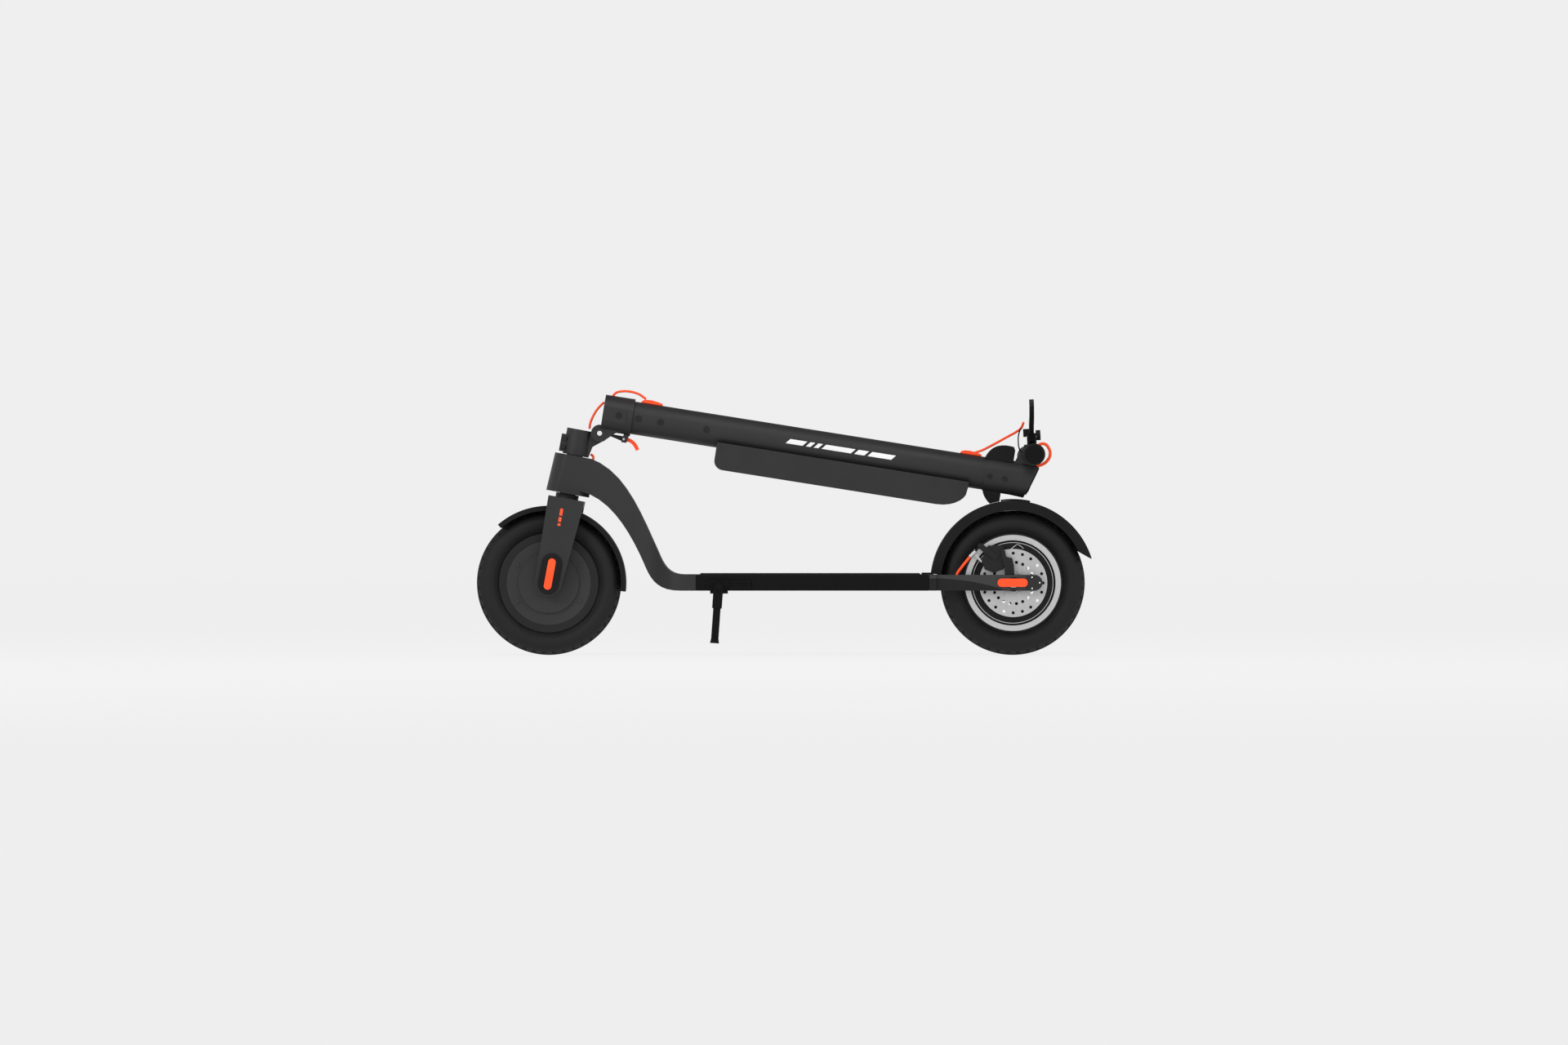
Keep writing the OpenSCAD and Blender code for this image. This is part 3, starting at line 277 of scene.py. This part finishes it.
def matFinish():  # fine grooves across a rubber mat
    m = Finish("deckMatRubber", specular=0.2)
    wave = m.node("ShaderNodeTexWave", {"wave_type": "BANDS", "bands_direction": "X", "wave_profile": "SIN"},
                  Vector=m.place(), Scale=matLook["groove"])
    dust = m.ramp(m.noise(matLook["dust"], 6, 0.65), 0.45, 0.75)
    base = m.mix(dust * 0.5, colour(matLook["dark"]), colour(matLook["light"]))
    return m.done(base, 0.62 + dust * 0.14, m.bump(wave.power(0.4), matLook["grooveDepth"]))


def splitFinish(name, codes, edge):  # one finish up to a plane across x, another past it
    m = Finish(name, specular=0.3)
    x, y, z = m.axes()
    base = m.mix(x > edge, colour(codes[0]), colour(codes[1]))
    return m.done(base, 0.45, m.bump(m.noise(1500, 2), 0.00002))


# painted light on the rear arm: the dark colour is painted shade on its lower, downward-facing side, the light
# colour a painted lit flank of the same black paint
armShadeLook = {"from": 0.262, "to": 0.388, "top": 0.1355, "fall": 0.020, "dark": "#08080a", "light": "#333334"}


def armShadeFinish():  # painted shade: black below a falling curve where the side faces down into shade, satin grey above it as the lit flank of the same paint
    m = Finish("rearArmPaintedShade", specular=0.3)
    x, y, z = m.axes()
    ease = m.ramp(x, armShadeLook["from"], armShadeLook["to"])
    curve = armShadeLook["top"] - ease * ease * armShadeLook["fall"]
    base = m.mix(z > curve, colour(armShadeLook["dark"]), colour(armShadeLook["light"]))
    return m.done(base, 0.42, m.bump(m.noise(2600, 2), 0.00002))


coverLook = {"screws": ((0.4354, 0.1375), (0.4489, 0.1279), (0.4356, 0.1180)), "screwRadius": 0.0014,
             "dark": "#262627", "bright": "#e0e0e0"}


def coverFinish():  # three bright screw heads on each dark end cover
    m = Finish("armCoverPlastic", specular=0.25)
    x, y, z = m.axes()
    screws = sum(distance(x, z, screwX, screwZ) < coverLook["screwRadius"]
                 for screwX, screwZ in coverLook["screws"])
    base = m.mix(screws, colour(coverLook["dark"]), colour(coverLook["bright"]))
    return m.done(base, 0.45, m.bump(m.noise(1500, 2), 0.00003))


special = {"rear_wheel": wheelFinish(), "arm_covers": coverFinish(),
           "brake_rotor": metalFinish("discSteel", "#b6b6b6", "#cacaca", rough=0.42), "deck_mat": matFinish(),
           "motor_rim": finishes["brake_black"], "rear_yoke": armShadeFinish(),
           "latch_lever": splitFinish("latchPlastic", ("#0e0e0f", "#ff4a1a"), -0.2765),
           "hinge_fasteners": splitFinish("hingeSteel", ("#141415", "#d8d8d8"), -0.36),
           "stem_screws": finishes["brake_black"], "handlebar": finishes["deck_black"]}
print("finishes made")


# making and placing pieces

def place(name, bm, finish, body, smooth=32, replaces=()):
    for face in bm.faces:
        face.smooth = True
    for edge in bm.edges:
        edge.smooth = len(edge.link_faces) == 2 and edge.calc_face_angle(0) < radians(smooth)
    mesh = bpy.data.meshes.new(name)
    bm.to_mesh(mesh)
    bm.free()
    piece = bpy.data.objects.new(name, mesh)
    bpy.context.scene.collection.objects.link(piece)
    mesh.materials.append(finishes[finish] if isinstance(finish, str) else finish)
    if body:
        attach(piece, body)
    if replaces:
        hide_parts(*replaces)
    return piece


def mergedCopy(node):  # a CAD node's loose triangles, merged into one surface
    bm = bmesh.new()
    bm.from_mesh(frame["nodes"][node].data)
    bmesh.ops.remove_doubles(bm, verts=bm.verts, dist=1e-6)
    bmesh.ops.dissolve_limit(bm, angle_limit=radians(1), verts=bm.verts, edges=bm.edges)
    return bm


def spun(bm, points, centre, axis, steps):  # a profile turned once round an axis
    verts = [bm.verts.new(p) for p in points]
    edges = [bm.edges.new(pair) for pair in zip(verts, verts[1:])]
    bmesh.ops.spin(bm, geom=verts + edges, cent=centre, axis=axis, dvec=(0, 0, 0), angle=2 * pi,
                   steps=steps, use_merge=True, use_duplicate=False)
    bmesh.ops.remove_doubles(bm, verts=bm.verts, dist=1e-7)
    bmesh.ops.recalc_face_normals(bm, faces=bm.faces)


# tyres

tyreShape = {"steps": 132, "arc": 135, "arcStep": 3, "treadSlope": 0.3, "grooves": (-0.011, 0.0, 0.011),
             "grooveHalf": 0.0016, "grooveDepth": 0.0022, "ribAngle": 126, "ribHeight": 0.0006,
             "blockSides": (0.0135, 0.0205), "blockBand": 0.009, "blockEvery": 3, "sipeInset": 0.0011,
             "sipeDepth": -0.0016}
tyreMeasure = {"bead": 0.0004, "neckPast": 0.003, "neckNear": 0.0003, "wallNear": 0.0002}  # tolerances


def makeTyre(node):
    shape, slack = tyreShape, tyreMeasure
    centre, half = middle(node)
    outer, wide = half.z, half.y
    spots = [(ringOf(v.co, centre), abs(v.co.y - centre.y)) for v in frame["nodes"][node].data.vertices]
    bead = min(spots)[0]
    beadHalf = max(y for ring, y in spots if ring < bead + slack["bead"])
    neck = min(ring for ring, y in spots
               if ring > bead + slack["neckPast"] and abs(y - beadHalf) < slack["neckNear"])
    reach = [ring for ring, y in spots if y > wide - slack["wallNear"]]
    mid = sum(reach) / len(reach)  # where the walls are widest
    tall = outer - mid
    profile = [(bead, -beadHalf), (neck, -beadHalf)]
    for angle in range(-shape["arc"], shape["arc"] + 1, shape["arcStep"]):
        a = radians(angle)
        y, r = wide * sin(a), mid + tall * cos(a)
        if cos(a) > shape["treadSlope"]:
            r -= shape["grooveDepth"] * any(abs(y - g) < shape["grooveHalf"] for g in shape["grooves"])
        elif abs(angle) == shape["ribAngle"]:
            y -= shape["ribHeight"] * (1 if y > 0 else -1)
        profile.append((r, y))
    profile += [(neck, beadHalf), (bead, beadHalf), (bead, -beadHalf)]
    bm = bmesh.new()
    spun(bm, [centre + Vector((0, y, r)) for r, y in profile], centre, (0, 1, 0), shape["steps"])
    blocks = []
    near, far = shape["blockSides"]
    for face in bm.faces:  # every third block of a side, staggered from the other side
        p = face.calc_center_median() - centre
        turn = int((atan2(p.z, p.x) + pi) / (2 * pi) * shape["steps"])
        onBand = ringOf(p) > outer - shape["blockBand"] and near < abs(p.y) < far
        if onBand and turn % shape["blockEvery"] == (0 if p.y > 0 else 1):
            blocks.append(face)
    bmesh.ops.inset_region(bm, faces=blocks, thickness=shape["sipeInset"], depth=shape["sipeDepth"],
                           use_even_offset=True)
    place(node + "_tread", bm, "rubber_tyre", bodyOf[node], 28, (node,))


for node in ("front_tyre", "rear_tyre"):
    makeTyre(node)
print("tyres made")


# castings and shells: the CAD shapes with their edges rounded

edgeWidths = {"neck_casting": 0.005, "fork": 0.0035, "head_clamp": 0.0012, "stem_base": 0.002,
              "stem_collar": 0.0012, "head_casting": 0.0012, "battery_case": 0.0035, "rear_yoke": 0.0025,
              "deck_shell": 0.002, "arm_covers": 0.0012, "fork_covers": 0.0016, "fork_reflectors": 0.0012,
              "rear_reflectors": 0.001, "front_mudguard": 0.001, "rear_mudguard": 0.001,
              "guard_catch": 0.001, "kickstand_bracket": 0.0012, "kickstand_leg": 0.0015,
              "caliper_body": 0.002, "caliper_bracket": 0.001, "caliper_arm": 0.001, "cable_adjuster": 0.0005,
              "stem_hook": 0.0015, "headlight_housing": 0.002, "latch_lever": 0.001, "brake_perch": 0.0015,
              "brake_lever": 0.0018, "throttle_housing": 0.0015, "throttle_paddle": 0.0015,
              "motor_covers": 0.0012, "motor_rim": 0.001, "rear_wheel": 0.0015, "brake_rotor": 0.0003,
              "stem_grommets": 0.0015, "display": 0.0006, "handlebar": 0.0008,
              "hinge_fasteners": 0.0005, "stem_screws": 0.0004}
rounding = {"angle": 35, "segments": 2}


def rounded(node, width):
    bm = mergedCopy(node)
    sharp = [e for e in bm.edges
             if len(e.link_faces) == 2 and e.calc_face_angle(0) > radians(rounding["angle"])]
    bmesh.ops.bevel(bm, geom=sharp, offset=width, offset_type="OFFSET", segments=rounding["segments"],
                    profile=0.5, affect="EDGES", material=-1, clamp_overlap=True)
    piece = place(node + "_body", bm, special.get(node, slotOf[node]), bodyOf[node], replaces=(node,))
    even = piece.modifiers.new("even", "WEIGHTED_NORMAL")  # keeps the flat faces flat
    even.keep_sharp = True
    piece.data = bpy.data.meshes.new_from_object(
        piece.evaluated_get(bpy.context.evaluated_depsgraph_get()))
    piece.modifiers.clear()


for node, width in edgeWidths.items():
    rounded(node, width)
for node, solid in frame["nodes"].items():  # the rest keep their shape and take a finish
    if node not in edgeWidths and node != "power_button":
        solid.data.materials.clear()
        solid.data.materials.append(special.get(node, finishes[slotOf[node]]))
print("castings rounded")


# power button, drawn a little smaller, clear of its seat when pressed

buttonShape = {"share": 0.92}
bm = mergedCopy("power_button")
spot = middle("power_button")[0]
bmesh.ops.scale(bm, vec=[buttonShape["share"]] * 3, space=Matrix.Translation(-spot), verts=bm.verts)
place("power_button_cap", bm, "button_silver", "power_button", replaces=("power_button",))
print("power button made")


# grips with ribs, and the screw in each bar end

gripShape = {"steps": 64, "pitch": 0.0042, "depth": 0.0007, "collar": 0.006, "slack": 0.0001, "lip": 0.001,
             "grooveAt": (0.0007, 0.0016, 0.0023), "tip": 0.002}
centre, half = middle("grips")
corners = [v.co for v in frame["nodes"]["grips"].data.vertices]
inner = min(abs(co.y) for co in corners)
bore = min(ringOf(co, centre) for co in corners)
bm = bmesh.new()
for side in (-1, 1):
    profile = [(bore + gripShape["slack"], inner), (half.z - gripShape["lip"], inner),
               (half.z, inner + gripShape["lip"])]
    low, start, end = half.z - gripShape["depth"], inner + gripShape["collar"], half.y - gripShape["collar"]
    down, along, up = gripShape["grooveAt"]
    y = inner
    while y < end:
        if y > start:
            profile += [(half.z, y), (low, y + down), (low, y + along), (half.z, y + up)]
        y += gripShape["pitch"]
    profile += [(half.z, half.y - gripShape["tip"]), (half.z - gripShape["tip"], half.y), (0.0, half.y)]
    spun(bm, [centre + Vector((0, side * y, r)) for r, y in profile], centre, (0, 1, 0), gripShape["steps"])
place("grip_sleeves", bm, "grip_rubber", "stem", 25, ("grips",))

screwShape = {"steps": 24, "radius": 0.0024, "height": 0.0006, "chamfer": 0.0003, "socket": 0.0009,
              "socketDepth": 0.0005}
bm = bmesh.new()
for side in (-1, 1):
    profile = [(screwShape["radius"], half.y - screwShape["height"]),
               (screwShape["radius"] - screwShape["chamfer"], half.y),
               (screwShape["socket"], half.y), (0, half.y - screwShape["socketDepth"])]
    spun(bm, [centre + Vector((0, side * y, r)) for r, y in profile], centre, (0, 1, 0), screwShape["steps"])
place("bar_end_screws", bm, "steel", "stem")
print("grips made")


# plain markings: bars on the stem's sides, in millimetres from the fold

stemMarks = {"bars": ((330, 30), (366, 8), (380, 8), (394, 52), (452, 18), (476, 42)), "rise": 2.0,
             "tall": 8.5, "rows": 6, "slant": 0.0012, "skin": 0.00012, "lean": 99.0, "offset": 0.0363}
white = plasticFinish("markingWhite", "#e2e2e2", "#ececec", rough=0.5, grain=0.0)
fold = Vector(joints["fold"]["pos_m"])
lean = radians(stemMarks["lean"])
along, over = Vector((sin(lean), 0, cos(lean))), Vector((-cos(lean), 0, sin(lean)))
tubeRadius = middle("stem_tube")[1].y
bm = bmesh.new()
for side in (-1, 1):
    for start, length in stemMarks["bars"]:
        rows = []
        for i in range(stemMarks["rows"] + 1):
            a = (stemMarks["rise"] + stemMarks["tall"] * (i / stemMarks["rows"] - 0.5)) / 1000 / tubeRadius
            out = over * sin(a) + Vector((0, side, 0)) * cos(a)
            slant = stemMarks["slant"] * (i - stemMarks["rows"] / 2)
            rows.append([bm.verts.new(fold + over * stemMarks["offset"] + along * (at / 1000 + slant) +
                         out * (tubeRadius + stemMarks["skin"])) for at in (start, start + length)])
        for low, high in zip(rows, rows[1:]):
            ring = (low[0], low[1], high[1], high[0])
            bm.faces.new(ring if side < 0 else ring[::-1])
place("stem_markings", bm, white, "stem")


# and bars on the fork's legs, by their height above the floor in millimetres

forkMarks = {"bars": ((228, 4), (235, 8), (246, 12)), "wide": 5.0, "skin": 0.00012, "lean": 10.5,
             "axle": (-0.4143, 0, 0.1273)}
tilt = radians(forkMarks["lean"])
up, across = Vector((sin(tilt), 0, cos(tilt))), Vector((cos(tilt), 0, -sin(tilt)))
legOut = middle("fork")[1].y + forkMarks["skin"]
bm = bmesh.new()
for side in (-1, 1):
    for start, length in forkMarks["bars"]:
        loop = []
        for height, edge in ((start, -1), (start, 1), (start + length, 1), (start + length, -1)):
            rise = (height / 1000 - forkMarks["axle"][2]) / cos(tilt)
            loop.append(bm.verts.new(Vector(forkMarks["axle"]) + up * rise +
                        across * (edge * forkMarks["wide"] / 2000) + Vector((0, side * legOut, 0))))
        bm.faces.new(loop if side < 0 else loop[::-1])
place("fork_markings", bm, "orange", "fork")
print("markings made")


# cables: each follows the route that its solid has, in millimetres, with its radius first

cables = {
    "lower": (2.2, [(-243, 0, 451), (-254, 0, 459), (-264, 0, 463), (-275, 0, 465), (-286, 0, 465),
                    (-295, 0, 463), (-302, 0, 457)]),
    "fold": (2.2, [(-317, 0, 446), (-327, 0, 436), (-334, 0, 426), (-339, 0, 416), (-342, 0, 407),
                   (-343, 0, 399)]),
    "steer": (2.2, [(-341, 0, 354), (-337, 0, 351), (-336, 0, 347), (-338, 0, 344), (-340, 0, 341)]),
    "upper": (2.2, [(337, 0, 357), (349, -1, 361), (361, -4, 367), (376, -14, 375), (394, -34, 385),
                    (408, -56, 393), (417, -76, 401), (420, -84, 409)]),
    "loop": (2.8, [(448, -36, 371), (458, -38, 372), (466, -38, 364), (468, -36, 352), (463, -30, 342),
                   (455, -22, 336), (446, -16, 333)]),
    "rear": (2.5, [(303, -54, 141), (306, -54, 147), (312, -54, 155), (319, -54, 164), (327, -54, 174)]),
    "boot": (2.0, [(334, -54, 182), (337, -54, 185), (339, -54, 187)]),
    "switch": (1.2, [(415, -86, 399), (411.5, -84, 388), (411, -78, 376), (414, -60, 362),
                     (424, -38, 353)]),  # only drawn
    "spring": (0.8, [(397, -50, 185), (405, -50, 192), (411, -50, 195), (416, -50, 192),
                     (421, -50, 188)])}  # only drawn
cableMesh = {"roundness": 3, "stretch": 6}


def tube(route):  # a smooth round cable as a mesh
    radius, points = cables[route]
    curve = bpy.data.curves.new(route, "CURVE")
    curve.dimensions = "3D"
    curve.bevel_depth, curve.bevel_resolution = radius / 1000, cableMesh["roundness"]
    curve.use_fill_caps, curve.resolution_u = True, cableMesh["stretch"]
    spline = curve.splines.new("BEZIER")
    spline.bezier_points.add(len(points) - 1)
    for knot, point in zip(spline.bezier_points, points):
        knot.co = Vector(point) / 1000
        knot.handle_left_type = knot.handle_right_type = "AUTO"
    holder = bpy.data.objects.new(route, curve)
    bpy.context.scene.collection.objects.link(holder)
    bpy.context.view_layer.update()
    mesh = bpy.data.meshes.new_from_object(holder.evaluated_get(bpy.context.evaluated_depsgraph_get()))
    bpy.data.objects.remove(holder)
    return mesh


def cable(name, runs, finish, body=None, replaces=()):  # one piece of one or more runs
    whole = bmesh.new()
    for route in runs:
        mesh = tube(route)
        whole.from_mesh(mesh)
        bpy.data.meshes.remove(mesh)
    bmesh.ops.remove_doubles(whole, verts=whole.verts, dist=1e-7)
    bmesh.ops.recalc_face_normals(whole, faces=whole.faces)
    return place(name, whole, finish, body, replaces=replaces)


cable("stem_cable_runs", ("lower", "upper", "loop"), "orange", "stem", ("stem_cables",))
cable("switch_wire", ("switch",), "black_plastic", "stem")
cable("pad_spring", ("spring",), "steel", "frame")
cable("rear_cable_run", ("rear",), "orange", "frame", ("rear_cable",))
boot = cable("cable_boot_sleeve", ("boot",), "black_plastic", replaces=("cable_boot",))
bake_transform(boot)
foldCable = cable("fold_cable_run", ("fold",), "orange", replaces=("fold_cable",))
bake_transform(foldCable)
steerCable = cable("steer_cable_run", ("steer",), "orange", replaces=("steer_cable",))
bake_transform(steerCable)
print("cables made")


# stage, light and camera: a softbox has its place, its size and its power

studio = {"lens": 200, "distance": 15.36, "flat": 22.0, "bend": 8.0, "height": 18.0, "steps": 96,
          "floorColour": "#484848", "glow": 0.83, "sky": 0.15,
          "boxes": {"overhead": ((0, -1.6, 3.4), (3.2, 1.2), 62), "left": ((-3.2, -4.2, 2.2), (1.6, 1.6), 66),
                    "right": ((3.6, -3.6, 1.8), (1.6, 1.6), 34)}}
low, high = cadBox
aim = Vector((0, 0, (low.z + high.z) / 2))
wall = [(studio["flat"] + studio["bend"] * sin(radians(a)), studio["bend"] * (1 - cos(radians(a))))
        for a in range(0, 91, 6)]
bm = bmesh.new()
spun(bm, [Vector((r, 0, low.z + z)) for r, z in [(0, 0)] + wall + [(wall[-1][0], studio["height"])]],
     (0, 0, low.z), (0, 0, 1), studio["steps"])
paper = Finish("paper", specular=0.0)
paper.shader.inputs["Emission Color"].default_value = (1, 1, 1, 1)
paper.shader.inputs["Emission Strength"].default_value = studio["glow"]
floor = place("studio_floor", bm, paper.done(colour(studio["floorColour"]), 1.0), None, 60)

world = bpy.data.worlds.new("studio")
bpy.context.scene.world = world
world.use_nodes = True
world.node_tree.nodes["Background"].inputs["Color"].default_value = (1, 1, 1, 1)
world.node_tree.nodes["Background"].inputs["Strength"].default_value = studio["sky"]

for name, (at, size, power) in studio["boxes"].items():
    light = bpy.data.lights.new(name, "AREA")
    light.shape, light.size, light.size_y, light.energy = "RECTANGLE", size[0], size[1], power
    lamp = bpy.data.objects.new(name, light)
    lamp.location = at
    lamp.rotation_euler = (aim - Vector(at)).to_track_quat("-Z", "Y").to_euler()
    bpy.context.scene.collection.objects.link(lamp)

camera = bpy.data.cameras.new("camera")
camera.lens, camera.sensor_width, camera.clip_end = studio["lens"], 36, 100
eye = bpy.data.objects.new("camera", camera)
eye.location = aim + Vector((0, -studio["distance"], 0))
eye.rotation_euler = (pi / 2, 0, 0)
bpy.context.scene.collection.objects.link(eye)
bpy.context.scene.camera = eye
bpy.context.scene.view_settings.view_transform = "Standard"
print("studio set")
